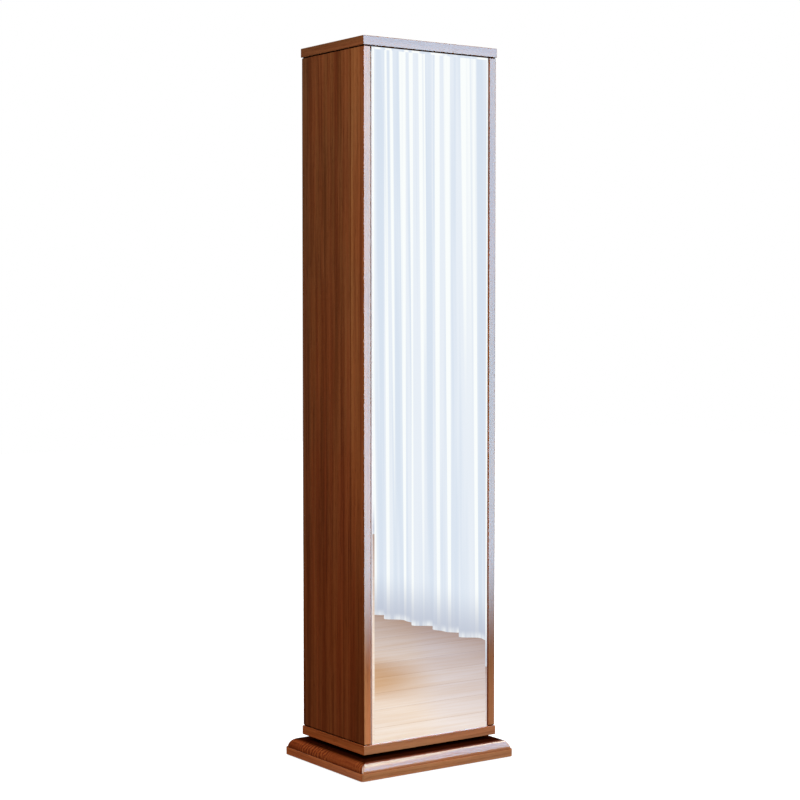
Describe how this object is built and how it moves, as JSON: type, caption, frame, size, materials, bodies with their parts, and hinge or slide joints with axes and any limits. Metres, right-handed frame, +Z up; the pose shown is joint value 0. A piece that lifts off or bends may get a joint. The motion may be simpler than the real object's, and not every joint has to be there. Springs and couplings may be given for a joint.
{
  "type": "revolving wardrobe cabinet",
  "caption": "Tall slim wooden cabinet that turns on a moulded base, with a full-length bevelled mirror in front and open coat hooks and shelves behind.",
  "frame": {"origin": "on the floor, on the turning axis, in the middle of the base", "axes": "+Z up along the turning axis, +X along the mirror's width, -Y the way the mirror faces, +Y the open storage side"},
  "size_m": [0.414, 0.317, 1.6],
  "materials": {
    "walnut_lacquer": "reddish-brown walnut veneer under glossy lacquer",
    "mirror_glass": "silvered float glass with a polished bevel",
    "ring_aluminium": "satin extruded aluminium",
    "ball_steel": "polished bearing steel",
    "cage_nylon": "natural nylon",
    "zinc_steel": "bright zinc plate",
    "pad_rubber": "matt black rubber",
    "foam_tape": "white closed-cell foam",
    "dowel_beech": "bare beech",
    "hook_brass": "satin antique brass"
  },
  "bodies": {
    "base": {"foot_pads": "pad_rubber", "base_plinth": "walnut_lacquer", "base_moulding": "walnut_lacquer", "base_board_screws": "zinc_steel", "bearing_outer_ring": "ring_aluminium", "bearing_ring_screws": "zinc_steel"},
    "ball_cage": {"bearing_cage": "cage_nylon", "bearing_balls": "ball_steel"},
    "cabinet": {"bearing_inner_ring": "ring_aluminium", "turntable_bolts": "zinc_steel", "bottom_board": "walnut_lacquer", "top_board": "walnut_lacquer", "side_panel_left": "walnut_lacquer", "side_panel_right": "walnut_lacquer", "mirror_glass": "mirror_glass", "mirror_foam_tape": "foam_tape", "mirror_backing_board": "walnut_lacquer", "shelf_lower": "walnut_lacquer", "shelf_middle": "walnut_lacquer", "shelf_hat": "walnut_lacquer", "shelf_pins": "zinc_steel", "cam_locks": "zinc_steel", "cam_bolts": "zinc_steel", "panel_dowels": "dowel_beech", "hook_rail": "walnut_lacquer", "hook_rail_screws": "zinc_steel", "coat_hook_1": "hook_brass", "coat_hook_2": "hook_brass", "coat_hook_3": "hook_brass", "hook_screws": "hook_brass"}
  },
  "joints": [
    {"name": "cabinet_spin", "type": "hinge", "parent": "base", "child": "cabinet", "pos_m": [0, 0, 0.045], "axis": [0, 0, 1], "continuous": true},
    {"name": "cage_spin", "type": "hinge", "parent": "base", "child": "ball_cage", "pos_m": [0, 0, 0.045], "axis": [0, 0, 1], "continuous": true}
  ],
  "couplings": [
    {"joint": "cage_spin", "follows": "cabinet_spin", "ratio": 0.5}
  ]
}
